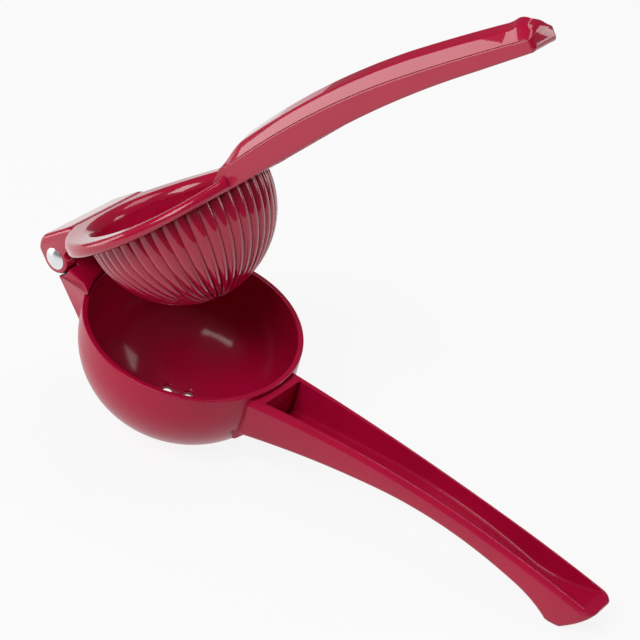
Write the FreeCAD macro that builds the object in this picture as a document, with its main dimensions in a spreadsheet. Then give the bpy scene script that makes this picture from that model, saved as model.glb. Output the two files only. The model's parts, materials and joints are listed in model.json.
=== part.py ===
"""Hinged lemon squeezer: two enamelled aluminium castings on one steel hinge pin.

Both castings are drawn in one working frame and then laid down as the squeezer rests.
Working frame, in millimetres: the origin is the centre of the bowl in its rim plane,
+X points along the lower handle, Y runs along the hinge pin and +Z is up, square to
the rim. The upper casting is drawn closed, lying over the bowl.
"""
import FreeCAD, Part
import Sketcher

import math
import os
import re

DOC = FreeCAD.newDocument("lemon_squeezer")

# Driving dimensions, in millimetres and degrees
SIZES = {
    # bowl
    "bowl_radius": 37.0,
    "bowl_wall": 2.0,
    "bowl_straight": 7.2,
    "knuckle_radius": 31.0,
    "crown_radius": 40.0,
    "land_radius": 6.0,
    "drain_radius": 1.8,
    "drain_ring": 7.2,
    "drain_count": 6,
    # hinge
    "hinge_x": -47.75,
    "hinge_z": 2.3,
    "hinge_half_width": 18.0,
    "pin_radius": 2.5,
    "pin_play": 0.05,
    "head_radius": 4.0,
    "head_height": 1.3,
    "head_sink": 0.6,
    "head_rim": 0.5,
    "ear_radius": 5.7,
    "barrel_radius": 4.4,
    "barrel_half_width": 13.7,
    "side_gap": 0.35,
    "seat_gap": 0.6,
    "lug_top": 2.1,
    "lug_foot": -13.2,
    # lower handle, seen from the side
    "lower_root_x": 28.0,
    "lower_top_root": -3.35,
    "lower_tip_x": 165.5,
    "lower_tip_top": 9.7,
    "lower_bottom_root": -20.3,
    "foot_x": 152.3,
    "foot_length": 4.6,
    # lower handle, seen from above
    "lower_root_half": 12.4,
    "lower_grip_half": 6.54,
    "grip_x": 128.0,
    "channel_x": 39.8,
    "channel_half": 8.6,
    "channel_floor": 2.2,
    "lower_wall": 1.4,
    "lower_top_bow": 480.0,
    "lower_bevel": 0.9,
    # press, drawn closed
    "press_z": 4.4,
    "press_radius": 31.4,
    "press_cavity": 29.0,
    "rib_count": 46,
    "rib_height": 0.55,
    "flange_radius": 38.4,
    "flange_bottom": 3.35,
    "flange_bottom_bow": 200.0,
    "lip_top": 7.4,
    "tongue_back": -53.4,
    "tongue_top": 11.0,
    # upper handle
    "fairing_radius": 18.0,
    "fairing_x": 38.8,
    "fairing_z": 19.3,
    "crest_x": 118.0,
    "crest_z": 28.3,
    "crest_bow": 347.0,
    "grip_bow": 900.0,
    "flare_bow": 14.0,
    "upper_bevel": 2.6,
    "upper_tip_x": 162.3,
    "upper_root_half": 10.3,
    "upper_grip_half": 5.7,
    "upper_wall": 1.6,
    "upper_roof": 2.4,
    # poses
    "open_angle": 45.9,
    "lean": 13.5,
}


def make_sheet():
    """Puts every driving dimension into a spreadsheet cell with an alias."""
    sheet = DOC.addObject("Spreadsheet::Sheet", "sizes")
    for row, (alias, number) in enumerate(SIZES.items(), start=1):
        sheet.set(f"A{row}", alias)
        sheet.set(f"B{row}", str(number))
        sheet.setAlias(f"B{row}", alias)
    DOC.recompute()
    return sheet


SHEET = make_sheet()


def bound(expression):
    """Turns an expression in aliases into one that names the sheet's cells."""
    return re.sub(r"[a-z_]+", lambda m: "sizes." + m[0] if m[0] in SIZES else m[0], expression)


def size(expression):
    """Gives the number that an expression in aliases stands for."""
    return float(SHEET.evalExpression(bound(expression)))


# Outlines: a sketch from corners, with straight or round sides

LEFT = 1.0
RIGHT = -1.0


def origin_plane(body, role):
    """Finds one of a body's own origin planes."""
    return next(f for f in body.Origin.OriginFeatures if f.Role == role)


def draw_loop(sketch, corners):
    """Adds one closed outline to a sketch.

    Each corner is (x, y) or (x, y, radius, side): the side that ends at the corner is
    then an arc, whose centre lies to the left or right of the way along it. The places
    and radii are expressions in the sheet's aliases.
    """
    first = sketch.GeometryCount
    count = len(corners)
    points = [FreeCAD.Vector(size(c[0]), size(c[1]), 0.0) for c in corners]
    ends = []
    for index in range(count):
        target = (index + 1) % count
        start, end, corner = points[index], points[target], corners[target]
        if len(corner) == 2:
            sketch.addGeometry(Part.LineSegment(start, end), False)
            ends.append((1, 2))
            continue
        radius, side = size(corner[2]), corner[3]
        chord = end - start
        reach = math.sqrt(radius ** 2 - (chord.Length / 2) ** 2)
        normal = FreeCAD.Vector(-chord.y, chord.x, 0).normalize()
        centre = (start + end) * 0.5 + normal * (reach * side)
        low, high = (start, end) if side == LEFT else (end, start)
        angles = [math.atan2(p.y - centre.y, p.x - centre.x) for p in (low, high)]
        circle = Part.Circle(centre, FreeCAD.Vector(0, 0, 1), radius)
        sketch.addGeometry(Part.ArcOfCircle(circle, angles[0], angles[1]), False)
        ends.append((1, 2) if side == LEFT else (2, 1))
    for index in range(count):
        geometry = first + index
        target = (index + 1) % count
        sketch.addConstraint(
            Sketcher.Constraint("Coincident", geometry, ends[index][1], first + target, ends[target][0]))
    for index, corner in enumerate(corners):
        geometry = first + index
        for kind, expression in (("DistanceX", corner[0]), ("DistanceY", corner[1])):
            number = sketch.addConstraint(
                Sketcher.Constraint(kind, -1, 1, geometry, ends[index][0], size(expression)))
            sketch.setExpression(f"Constraints[{number}]", bound(expression))
        side = corners[(index + 1) % count]
        if len(side) == 4:
            number = sketch.addConstraint(Sketcher.Constraint("Radius", geometry, size(side[2])))
            sketch.setExpression(f"Constraints[{number}]", bound(side[2]))


def make_sketch(body, name, role, loops):
    """Makes a sketch on one of the body's origin planes and draws its outlines."""
    sketch = body.newObject("Sketcher::SketchObject", name)
    sketch.AttachmentSupport = [(origin_plane(body, role), "")]
    sketch.MapMode = "FlatFace"
    for loop in loops:
        draw_loop(sketch, loop)
    return sketch


def chords(middle, radius, start, end, count):
    """Corners along an arc drawn as equal chords, so that a turned wall has few, flat cones.

    The middle is (x, y), and the angles are measured from straight below it towards +x.
    All of them are expressions, the angles with their unit.
    """
    corners = []
    for step in range(count + 1):
        turn = f"({start} + (({end}) - ({start})) * {step} / {count})"
        corners.append((f"{middle[0]} + ({radius}) * sin({turn})", f"{middle[1]} - ({radius}) * cos({turn})"))
    return corners


def make_body(name):
    """Starts an empty body."""
    return DOC.addObject("PartDesign::Body", name)


def pad(body, name, role, loops, width):
    """Pads outlines both ways from an origin plane, to a full width."""
    feature = body.newObject("PartDesign::Pad", name)
    feature.Profile = make_sketch(body, name + "_outline", role, loops)
    feature.SideType = "Symmetric"
    feature.setExpression("Length", bound(width))
    return feature


def trim(body, name, role, loops):
    """Cuts away what lies inside the outlines, right through both ways."""
    feature = body.newObject("PartDesign::Pocket", name)
    feature.Profile = make_sketch(body, name + "_outline", role, loops)
    feature.SideType = "Symmetric"
    feature.Type = "Length"
    feature.Length = 200.0
    return feature


def bevel(body, name, bows, width):
    """Chamfers the long edges of the faces that side arcs of the given radii made."""
    DOC.recompute()
    base = body.Tip
    radii = [size(bow) for bow in bows]
    crests = [face for face in base.Shape.Faces
              if isinstance(face.Surface, Part.Cylinder) and abs(face.Surface.Axis.y) > 0.99
              and any(abs(face.Surface.Radius - radius) < 0.01 for radius in radii)]
    edges = [f"Edge{number}" for number, edge in enumerate(base.Shape.Edges, start=1)
             if not isinstance(edge.Curve, Part.Line)
             and any(edge.isSame(side) for face in crests for side in face.Edges)]
    feature = body.newObject("PartDesign::Chamfer", name)
    feature.Base = (base, edges)
    feature.setExpression("Size", bound(width))
    body.Tip = feature


def revolve(body, name, loop, axis="V_Axis", role="XZ_Plane"):
    """Turns an outline once round an axis of its sketch."""
    feature = body.newObject("PartDesign::Revolution", name)
    sketch = make_sketch(body, name + "_outline", role, [loop])
    feature.Profile = sketch
    feature.ReferenceAxis = (sketch, [axis])
    feature.Angle = 360.0
    return feature


def frame_loop():
    """Gives a rectangle well outside the castings, for trimming to a plan outline."""
    return [("-80", "-60"), ("200", "-60"), ("200", "60"), ("-80", "60")]


def cylinder_along_y(name, radius, half_width, middle_y="0"):
    """Makes a cylinder on the hinge axis, centred at middle_y."""
    solid = DOC.addObject("Part::Cylinder", name)
    solid.Placement = FreeCAD.Placement(
        FreeCAD.Vector(0, 0, 0), FreeCAD.Rotation(FreeCAD.Vector(1, 0, 0), -90))
    solid.setExpression("Radius", bound(radius))
    solid.setExpression("Height", bound(f"2 * ({half_width})"))
    solid.setExpression("Placement.Base.x", bound("hinge_x"))
    solid.setExpression("Placement.Base.y", bound(f"{middle_y} - ({half_width})"))
    solid.setExpression("Placement.Base.z", bound("hinge_z"))
    return solid


def fuse(name, shapes):
    """Joins several objects into one."""
    result = DOC.addObject("Part::MultiFuse", name)
    result.Shapes = shapes
    return result


def cut(name, base, tool):
    """Takes one object away from another."""
    result = DOC.addObject("Part::Cut", name)
    result.Base = base
    result.Tool = tool
    return result


# Lower casting

CROWN_Z = "(-bowl_straight + sqrt((crown_radius - knuckle_radius)^2 - (bowl_radius - knuckle_radius)^2))"
CROWN_SHARE = "(bowl_radius - knuckle_radius) / (crown_radius - knuckle_radius)"
LAND_DEPTH = "sqrt(crown_radius^2 - land_radius^2)"
FOOT_Z = f"{CROWN_Z} + (foot_x * sin(lean) - {LAND_DEPTH}) / cos(lean)"


def bowl_loop(wall, top):
    """Half section of the bowl: a short straight side, a knuckle arc and a flatter crown."""
    blend = f"asin({CROWN_SHARE})"
    crown = chords(("0", CROWN_Z), f"crown_radius - {wall}", "0 deg", blend, 3)
    knuckle = chords(
        ("bowl_radius - knuckle_radius", "-bowl_straight"), f"knuckle_radius - {wall}", blend, "90 deg", 4)
    return [("0", top)] + crown + knuckle[1:] + [(f"bowl_radius - {wall}", top)]


def lower_handle_side():
    """Side outline of the lower handle, from the root along the underside to the tip."""
    foot_end_x = "foot_x + foot_length * cos(lean)"
    foot_end_z = f"{FOOT_Z} + foot_length * sin(lean)"
    return [
        ("lower_root_x", "lower_bottom_root"),
        ("84", "-3.3", "510", RIGHT),
        ("140", "0", "150", RIGHT),
        ("foot_x", FOOT_Z, "32", RIGHT),
        (foot_end_x, foot_end_z),
        ("lower_tip_x", "lower_tip_top - 1", "60", LEFT),
        ("lower_tip_x - 0.7", "lower_tip_top", "1.2", LEFT),
        ("lower_root_x", "lower_top_root", "lower_top_bow", LEFT),
    ]


def lower_handle_plan():
    """Plan outline of the lower handle: a long waist from the bowl to straight grip sides."""
    return [
        ("lower_root_x", "-lower_root_half"),
        ("grip_x", "-lower_grip_half", "860", RIGHT),
        ("lower_tip_x - 4", "-lower_grip_half"),
        ("lower_tip_x", "4 - lower_grip_half", "4", LEFT),
        ("lower_tip_x", "lower_grip_half - 4"),
        ("lower_tip_x - 4", "lower_grip_half", "4", LEFT),
        ("grip_x", "lower_grip_half"),
        ("lower_root_x", "lower_root_half", "860", RIGHT),
    ]


def lower_channel_side():
    """Side outline of the hollow in the lower handle, which runs up to a thin lip at the tip."""
    return [
        ("channel_x", "-13.9"),
        ("84", "-3.3 + channel_floor", "510", RIGHT),
        ("138", "channel_floor", "152", RIGHT),
        ("lower_tip_x - 1.7", "lower_tip_top + 1", "42", LEFT),
        ("lower_tip_x - 1.7", "30"),
        ("channel_x", "30"),
    ]


def lower_channel_plan():
    """Plan outline of the hollow in the lower handle."""
    grip = "(lower_grip_half - lower_wall)"
    end = "(lower_tip_x - 1.7)"
    return [
        ("channel_x", "-channel_half"),
        ("grip_x", f"-{grip}", "1150", RIGHT),
        (f"{end} - 3", f"-{grip}"),
        (end, f"3 - {grip}", "3", LEFT),
        (end, f"{grip} - 3"),
        (f"{end} - 3", grip, "3", LEFT),
        ("grip_x", grip),
        ("channel_x", "channel_half", "1150", RIGHT),
    ]


def lug_side():
    """Side outline of the block that joins the hinge barrel to the bowl."""
    return [
        ("hinge_x - 1.2", "hinge_z - 1.7"),
        ("-34.2", "lug_foot"),
        ("-28", "lug_foot"),
        ("-28", "lug_top - 0.7"),
        ("-34", "lug_top - 0.7"),
        ("-40.4", "lug_top"),
        ("hinge_x", "lug_top"),
    ]


def make_blade(name, side, plan):
    """Pads a side outline and trims it to a plan outline."""
    body = make_body(name)
    pad(body, name + "_side", "XZ_Plane", [side], "80")
    body.Tip = trim(body, name + "_plan", "XY_Plane", [frame_loop(), plan])
    return body


def make_drains():
    """Makes the round drain holes through the crown of the bowl."""
    tools = []
    count = int(size("drain_count"))
    for index in range(count + 1):
        hole = DOC.addObject("Part::Cylinder", f"drain_{index}")
        hole.setExpression("Radius", bound("drain_radius"))
        hole.Height = 20.0
        hole.Placement.Base = FreeCAD.Vector(0, 0, -50)
        if index:
            turn = 360.0 * (index - 0.5) / count
            hole.setExpression("Placement.Base.x", bound(f"drain_ring * cos({turn})"))
            hole.setExpression("Placement.Base.y", bound(f"drain_ring * sin({turn})"))
        tools.append(hole)
    return tools


def make_land():
    """Makes the tool that flattens the small spot on which the bowl rests."""
    land = DOC.addObject("Part::Box", "land")
    land.Length = land.Width = 60.0
    land.Height = 10.0
    turn = FreeCAD.Rotation(FreeCAD.Vector(0, 1, 0), -size("lean"))
    middle = FreeCAD.Vector(0, 0, size(CROWN_Z))
    corner = middle + turn.multVec(FreeCAD.Vector(-30, -30, -size(LAND_DEPTH) - 10))
    land.Placement = FreeCAD.Placement(corner, turn)
    return land


def make_lower_casting():
    """Makes the bowl, its handle and the hinge barrel as one casting."""
    bowl = make_body("bowl")
    revolve(bowl, "bowl_wall_turn", bowl_loop("0", "0"))
    cavity = make_body("bowl_hollow")
    revolve(cavity, "bowl_hollow_turn", bowl_loop("bowl_wall", "12"))
    handle = make_blade("lower_handle", lower_handle_side(), lower_handle_plan())
    bevel(handle, "lower_handle_bevel", ["lower_top_bow"], "lower_bevel")
    channel = make_blade("lower_channel", lower_channel_side(), lower_channel_plan())
    lug = make_body("hinge_lug")
    pad(lug, "hinge_lug_side", "XZ_Plane", [lug_side()], "2 * hinge_half_width")
    barrel = cylinder_along_y("barrel", "barrel_radius", "barrel_half_width")
    ear_width = "(hinge_half_width - barrel_half_width + 1) / 2"
    seats = [
        cylinder_along_y(f"ear_seat_{side}", "ear_radius + seat_gap", ear_width,
                         f"{sign} * (barrel_half_width + {ear_width})")
        for side, sign in (("near", "-1"), ("far", "1"))
    ]
    bore = cylinder_along_y("barrel_bore", "pin_radius + pin_play", "30")
    solid = fuse("lower_solid", [bowl, handle, lug, barrel])
    hollow = fuse("lower_hollow", [cavity, channel, bore, make_land()] + seats + make_drains())
    return cut("lower_casting", solid, hollow)


# Upper casting, drawn closed


def tongue_loop():
    """Side outline of the lip and hinge roof: a saddle, low at the sides and high at both ends."""
    return [
        ("tongue_back", "flange_bottom"),
        ("0", "flange_bottom"),
        ("45", "flange_bottom + 45^2 / (2 * flange_bottom_bow)", "flange_bottom_bow", LEFT),
        ("45", "fairing_z + 3"),
        ("fairing_x", "fairing_z"),
        ("26", "lip_top + 2", "fairing_radius", RIGHT),
        ("2", "lip_top", "150", RIGHT),
        ("-34", "tongue_top - 0.5", "220", RIGHT),
        ("-37", "tongue_top", "8", LEFT),
        ("-47.3", "tongue_top"),
        ("tongue_back + 1.9", "tongue_top - 1.7", "6", LEFT),
        ("tongue_back", "tongue_top - 3.7", "4", LEFT),
    ]


def flange_plan():
    """Plan outline of the lip: round, with the straight-sided tongue of the hinge."""
    meet = "-sqrt(flange_radius^2 - hinge_half_width^2)"
    return [
        ("tongue_back - 1", "-hinge_half_width"),
        (meet, "-hinge_half_width"),
        ("flange_radius", "0", "flange_radius", LEFT),
        (meet, "hinge_half_width", "flange_radius", LEFT),
        ("tongue_back - 1", "hinge_half_width"),
    ]


def upper_handle_side():
    """Side outline of the upper handle, with its fairing at the root and a flared tip."""
    return [
        ("31", "12"),
        ("31", "7"),
        ("38", "7"),
        ("72", "12.4"),
        ("140", "18", "413", RIGHT),
        ("upper_tip_x - 1.3", "18.3"),
        ("upper_tip_x", "20", "1.6", LEFT),
        ("upper_tip_x", "23.4"),
        ("155.9", "28", "6.2", LEFT),
        ("152", "27.6", "flare_bow", RIGHT),
        ("crest_x", "crest_z", "grip_bow", LEFT),
        ("fairing_x", "fairing_z", "crest_bow", LEFT),
    ]


def upper_handle_plan():
    """Plan outline of the upper handle."""
    return [
        ("31", "-upper_root_half"),
        ("grip_x", "-upper_grip_half", "1060", RIGHT),
        ("upper_tip_x - 3.5", "-upper_grip_half"),
        ("upper_tip_x", "3.5 - upper_grip_half", "3.5", LEFT),
        ("upper_tip_x", "upper_grip_half - 3.5"),
        ("upper_tip_x - 3.5", "upper_grip_half", "3.5", LEFT),
        ("grip_x", "upper_grip_half"),
        ("31", "upper_root_half", "1060", RIGHT),
    ]


def upper_channel_side():
    """Side outline of the hollow under the upper handle."""
    return [
        ("41.5", "-5"),
        ("159", "-5"),
        ("159", "20.5"),
        ("155.5", "24.8", "5", LEFT),
        ("crest_x", "crest_z - upper_roof", "1600", LEFT),
        ("41.5", "fairing_z - upper_roof + 0.8", "crest_bow", LEFT),
    ]


def upper_channel_plan():
    """Plan outline of the hollow under the upper handle."""
    grip = "(upper_grip_half - upper_wall)"
    return [
        ("41.5", "-8"),
        ("grip_x", f"-{grip}", "960", RIGHT),
        ("156", f"-{grip}"),
        ("159", f"3 - {grip}", "3", LEFT),
        ("159", f"{grip} - 3"),
        ("156", grip, "3", LEFT),
        ("grip_x", grip),
        ("41.5", "8", "960", RIGHT),
    ]


def rib_ring(latitude):
    """One ring of ribs at a latitude below the lip: flat crests with sharp valleys between them."""
    count = int(size("rib_count"))
    turn = math.radians(latitude)
    crest = size("press_radius") * math.cos(turn)
    valley = (size("press_radius") - size("rib_height")) * math.cos(turn)
    height = size("press_z") - size("press_radius") * math.sin(turn)
    pitch = 2 * math.pi / count
    points = []
    for index in range(count):
        for share, radius in ((0, valley), (1 / 3, crest), (2 / 3, crest)):
            angle = pitch * (index + share)
            points.append(FreeCAD.Vector(radius * math.cos(angle), radius * math.sin(angle), height))
    return Part.makePolygon(points + points[:1])


def make_ribbed_press():
    """Lofts the ribbed outside of the press from its lip to near the pole."""
    rings = [rib_ring(latitude) for latitude in (0, 14, 28, 42, 56, 69, 81)]
    skirt = Part.Face(rings[0]).extrude(FreeCAD.Vector(0, 0, size("lip_top - flange_bottom") / 2))
    shape = Part.makeLoft(rings, True, True).fuse(skirt)
    press = DOC.addObject("Part::Feature", "ribbed_press")
    press.Shape = shape
    return press


def press_hollow_loop():
    """Half section of the cup inside the press, with a flared mouth."""
    cup = chords(("0", "press_z"), "press_cavity", "0 deg", "90 deg", 6)
    mouth = "press_cavity + 1.8"
    return [("0", "40")] + cup + [
        ("press_cavity", "lip_top - 1.5"),
        (mouth, "lip_top + 0.5"),
        (mouth, "40"),
    ]


def make_upper_casting():
    """Makes the press, its lip, handle and hinge ears as one casting."""
    flange = make_body("flange")
    pad(flange, "flange_side", "XZ_Plane", [tongue_loop()], "100")
    flange.Tip = trim(flange, "flange_plan", "XY_Plane", [frame_loop(), flange_plan()])
    handle = make_blade("upper_handle", upper_handle_side(), upper_handle_plan())
    bevel(handle, "upper_handle_bevel", ["crest_bow", "grip_bow", "flare_bow"], "upper_bevel")
    channel = make_blade("upper_channel", upper_channel_side(), upper_channel_plan())
    hollow = make_body("press_hollow")
    revolve(hollow, "press_hollow_turn", press_hollow_loop())
    ears = cylinder_along_y("ears", "ear_radius", "hinge_half_width")
    slot = cylinder_along_y("barrel_slot", "barrel_radius + side_gap", "barrel_half_width + side_gap")
    gap = DOC.addObject("Part::Box", "arm_slot")
    gap.setExpression("Length", bound("9.2 + (hinge_x - tongue_back)"))
    gap.setExpression("Width", bound("2 * (barrel_half_width + side_gap)"))
    gap.setExpression("Height", bound("flange_bottom + 20"))
    gap.setExpression("Placement.Base.x", bound("tongue_back - 2"))
    gap.setExpression("Placement.Base.y", bound("-(barrel_half_width + side_gap)"))
    gap.setExpression("Placement.Base.z", "-20")
    bore = cylinder_along_y("ear_bore", "pin_radius", "30")
    sink = "head_sink"
    sinks = [
        cylinder_along_y(f"head_seat_{side}", "head_radius + 0.45", f"{sink} / 2 + 0.5",
                         f"{sign} * (hinge_half_width - {sink} / 2 + 0.5)")
        for side, sign in (("near", "-1"), ("far", "1"))
    ]
    solid = fuse("upper_solid", [flange, handle, make_ribbed_press(), ears])
    voids = fuse("upper_hollow", [hollow, channel, slot, gap, bore] + sinks)
    return cut("upper_casting", solid, voids)


# Hinge pin


def make_hinge_pin():
    """Turns the rivet pin with a domed head at each end, about the hinge axis."""
    body = make_body("hinge_pin")
    face = "hinge_half_width - head_sink"
    dome = "(head_radius^2 + head_height^2) / (2 * head_height)"
    middle = f"{face} + head_rim + head_height - {dome}"
    cap = chords(("0", "0"), dome, "0 deg", f"asin(head_radius / ({dome}))", 3)
    near = [(x, f"-({middle}) + ({y})") for x, y in cap]
    far = [(x, f"{middle} - ({y})") for x, y in reversed(cap)]
    shank = [
        ("head_radius", f"-({face})"),
        ("pin_radius", f"-({face})"),
        ("pin_radius", face),
        ("head_radius", face),
    ]
    loop = near + shank + far
    revolve(body, "hinge_pin_turn", loop, role="XY_Plane")
    return body


# Resting pose


def place(lower, upper, pin):
    """Lays the squeezer down as it rests, with the press open as drawn by open_angle."""
    lean = FreeCAD.Placement(
        FreeCAD.Vector(), FreeCAD.Rotation(FreeCAD.Vector(0, 1, 0), size("lean")))
    axis = FreeCAD.Vector(size("hinge_x"), 0, size("hinge_z"))
    swing = FreeCAD.Placement(
        FreeCAD.Vector(), FreeCAD.Rotation(FreeCAD.Vector(0, 1, 0), -size("open_angle")), axis)
    pin.Placement = FreeCAD.Placement(axis, FreeCAD.Rotation())
    poses = {lower: lean, upper: lean * swing, pin: lean * swing * pin.Placement}
    box = FreeCAD.BoundBox()
    for piece, pose in poses.items():
        shape = piece.Shape.copy()
        shape.Placement = pose
        box.add(shape.optimalBoundingBox())
    shift = FreeCAD.Placement(
        FreeCAD.Vector(-box.Center.x, -box.Center.y, -box.ZMin), FreeCAD.Rotation())
    for piece, pose in poses.items():
        piece.Placement = shift * pose
    return shift * lean, shift * lean * swing


def check_and_write(pieces):
    """Stops on any failed object, then writes one file for each piece."""
    for item in DOC.Objects:
        if {"Invalid", "Error"} & set(item.State):
            raise RuntimeError(f"{item.Name} failed: {item.State}")
    os.makedirs("parts", exist_ok=True)
    for piece in pieces:
        shape = piece.Shape
        if shape.isNull() or not shape.isValid() or len(shape.Solids) != 1:
            raise RuntimeError(f"{piece.Label} is not one valid solid: {len(shape.Solids)}")
        shape.exportStep(f"parts/{piece.Label}.step")
        print(piece.Label, "volume", round(shape.Volume), "mm3, box", shape.BoundBox)


LOWER = make_lower_casting()
UPPER = make_upper_casting()
PIN = make_hinge_pin()
DOC.recompute()
LEAN, SWING = place(LOWER, UPPER, PIN)
DOC.recompute()
check_and_write([LOWER, UPPER, PIN])
print("hinge axis at", LEAN.multVec(FreeCAD.Vector(size("hinge_x"), 0, size("hinge_z"))))
print("foot starts at", LEAN.multVec(FreeCAD.Vector(size("foot_x"), 0, size(FOOT_Z))))
print("bowl centre at", LEAN.multVec(FreeCAD.Vector()))
print("press centre at", SWING.multVec(FreeCAD.Vector(0, 0, size("press_z"))))
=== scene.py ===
"""Looks of a hinged lemon squeezer: two red enamelled castings on one steel hinge pin.

Shapes are worked out in the working frame of the castings, in millimetres: the origin is
the centre of the bowl in its rim plane, +X points along the lower handle, Y runs along
the hinge pin and +Z is square to the rim. The upper casting is shaped closed, over the
bowl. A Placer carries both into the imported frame, in metres.
"""

import json
import logging
import math
from dataclasses import dataclass, field
from enum import Enum
from typing import Callable, Union

import bmesh
import bpy
import numpy as np
from mathutils import Matrix, Vector

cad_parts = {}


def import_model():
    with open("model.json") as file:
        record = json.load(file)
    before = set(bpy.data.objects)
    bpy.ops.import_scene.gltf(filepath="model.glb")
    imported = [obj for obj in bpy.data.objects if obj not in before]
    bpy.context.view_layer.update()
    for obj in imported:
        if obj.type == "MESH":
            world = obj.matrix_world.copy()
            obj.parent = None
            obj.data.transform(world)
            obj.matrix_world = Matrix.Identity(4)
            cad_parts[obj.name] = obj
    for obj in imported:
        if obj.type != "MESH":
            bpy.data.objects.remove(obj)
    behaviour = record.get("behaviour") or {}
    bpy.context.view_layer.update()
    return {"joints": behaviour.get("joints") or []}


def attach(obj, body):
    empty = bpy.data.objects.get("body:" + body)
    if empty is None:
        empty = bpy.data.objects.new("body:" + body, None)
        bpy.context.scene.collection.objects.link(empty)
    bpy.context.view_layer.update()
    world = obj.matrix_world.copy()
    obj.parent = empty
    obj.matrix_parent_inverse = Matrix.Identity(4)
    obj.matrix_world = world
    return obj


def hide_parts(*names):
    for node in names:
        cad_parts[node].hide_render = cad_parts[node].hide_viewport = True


LOG = logging.getLogger("squeezer")
MM = 0.001
HAIR = 0.02  # distance between the two stations of a step in a section
RIGHT_ANGLE = np.pi / 2
Array = np.ndarray
Piece = bpy.types.Object
Node = bpy.types.Node
Socket = bpy.types.NodeSocket


class Side(Enum):
    """Where the centre of an arc lies, seen along +x."""

    BELOW = -1
    ABOVE = 1


# Curves and sections


def arc_height(x: Array, start: tuple, end: tuple, radius: float, side: Side) -> Array:
    """Height of a circular arc between two points, as a function of x.

    The centre is on the chord's perpendicular bisector, at the distance that the radius
    leaves, and the height is the centre's plus or minus the root of radius^2 - dx^2.

    Args:
        x: Places at which the height is wanted.
        start: First point of the arc, (x, z).
        end: Last point of the arc, (x, z).
        radius: Radius of the arc.
        side: Whether the centre lies below or above the arc.

    Returns:
        The heights, one for each x.
    """
    a, b = np.array(start, float), np.array(end, float)
    chord = b - a
    length = np.hypot(*chord)
    reach = math.sqrt(radius ** 2 - (length / 2) ** 2)
    normal = np.array([-chord[1], chord[0]]) / length
    centre = (a + b) / 2 + normal * reach * side.value
    rise = np.sqrt(np.maximum(radius ** 2 - (x - centre[0]) ** 2, 0.0))
    return centre[1] - side.value * rise


@dataclass(frozen=True)
class Chain:
    """A chain of arcs and straight runs in x and z, as corner points in order of x.

    There is one entry of arcs for each run: None for a straight one, or (radius, side).
    """

    points: tuple
    arcs: tuple

    def height(self, x: Array) -> Array:
        """Height of the chain.

        Args:
            x: Places at which the height is wanted.

        Returns:
            The heights, one for each x.
        """
        z = np.interp(x, [p[0] for p in self.points], [p[1] for p in self.points])
        for start, end, arc in zip(self.points[:-1], self.points[1:], self.arcs):
            if arc is None:
                continue
            inside = (x >= start[0]) & (x <= end[0])
            z[inside] = arc_height(x[inside], start, end, arc[0], arc[1])
        return z


def s_curve(x: Array, start: tuple, end: tuple, z: Array) -> Array:
    """Puts a cubic blend between two places into a run of heights.

    The blend is the Hermite cubic that meets both ends with their slopes.

    Args:
        x: Places of the heights.
        start: First place of the blend, (x, height, slope).
        end: Last place of the blend, (x, height, slope).
        z: Heights outside the blend.

    Returns:
        The heights with the blend in place.
    """
    span = end[0] - start[0]
    t = np.clip((x - start[0]) / span, 0, 1)
    blend = (2 * t ** 3 - 3 * t ** 2 + 1) * start[1] + (t ** 3 - 2 * t ** 2 + t) * span * start[2]
    blend = blend + (3 * t ** 2 - 2 * t ** 3) * end[1] + (t ** 3 - t ** 2) * span * end[2]
    return np.where((x >= start[0]) & (x <= end[0]), blend, z)


def rounded_path(corners: Array, radii: tuple, steps: int = 6) -> Array:
    """Rounds the inner corners of many open paths at once.

    Each corner becomes a quadratic curve from the point at distance t before it to the
    point at distance t after it, where t is the radius over the tangent of half the
    corner's angle, at most 0.48 of the shorter side.

    Args:
        corners: Array (paths, corners, 2).
        radii: One radius for each corner; the first and last aren't used.
        steps: Segments in each rounded corner.

    Returns:
        Array (paths, points, 2).
    """
    pieces = [corners[:, :1]]
    u = np.linspace(0, 1, steps + 1)[None, :, None]
    for k in range(1, corners.shape[1] - 1):
        here = corners[:, k]
        if radii[k] == 0:
            pieces.append(here[:, None])
            continue
        back, ahead = corners[:, k - 1] - here, corners[:, k + 1] - here
        near = np.maximum(np.linalg.norm(back, axis=1), 1e-6)
        far = np.maximum(np.linalg.norm(ahead, axis=1), 1e-6)
        back, ahead = back / near[:, None], ahead / far[:, None]
        half = np.arccos(np.clip((back * ahead).sum(1), -1, 1)) / 2
        cut = np.minimum(radii[k] / np.maximum(np.tan(half), 0.05), 0.48 * np.minimum(near, far))
        p = (here + back * cut[:, None])[:, None]
        q = (here + ahead * cut[:, None])[:, None]
        pieces.append((1 - u) ** 2 * p + 2 * u * (1 - u) * here[:, None] + u ** 2 * q)
    pieces.append(corners[:, -1:])
    return np.concatenate(pieces, 1)


def mirror_loop(half: Array) -> Array:
    """Closes half sections (paths, points, 2) by adding their mirror in the first axis."""
    other = half[:, -2:0:-1].copy()
    other[..., 0] *= -1
    return np.concatenate([half, other], 1)


def refine(values: list, step: float) -> Array:
    """Fills the gaps between sorted places so that none is wider than a step.

    Args:
        values: The places that are kept.
        step: Widest gap.

    Returns:
        All the places, in order.
    """
    counts = [max(2, math.ceil((b - a) / step) + 1) for a, b in zip(values, values[1:])]
    runs = [np.linspace(a, b, n)[:-1] for a, b, n in zip(values, values[1:], counts)]
    return np.concatenate(runs + [np.array(values[-1:])])


# Meshes


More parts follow.
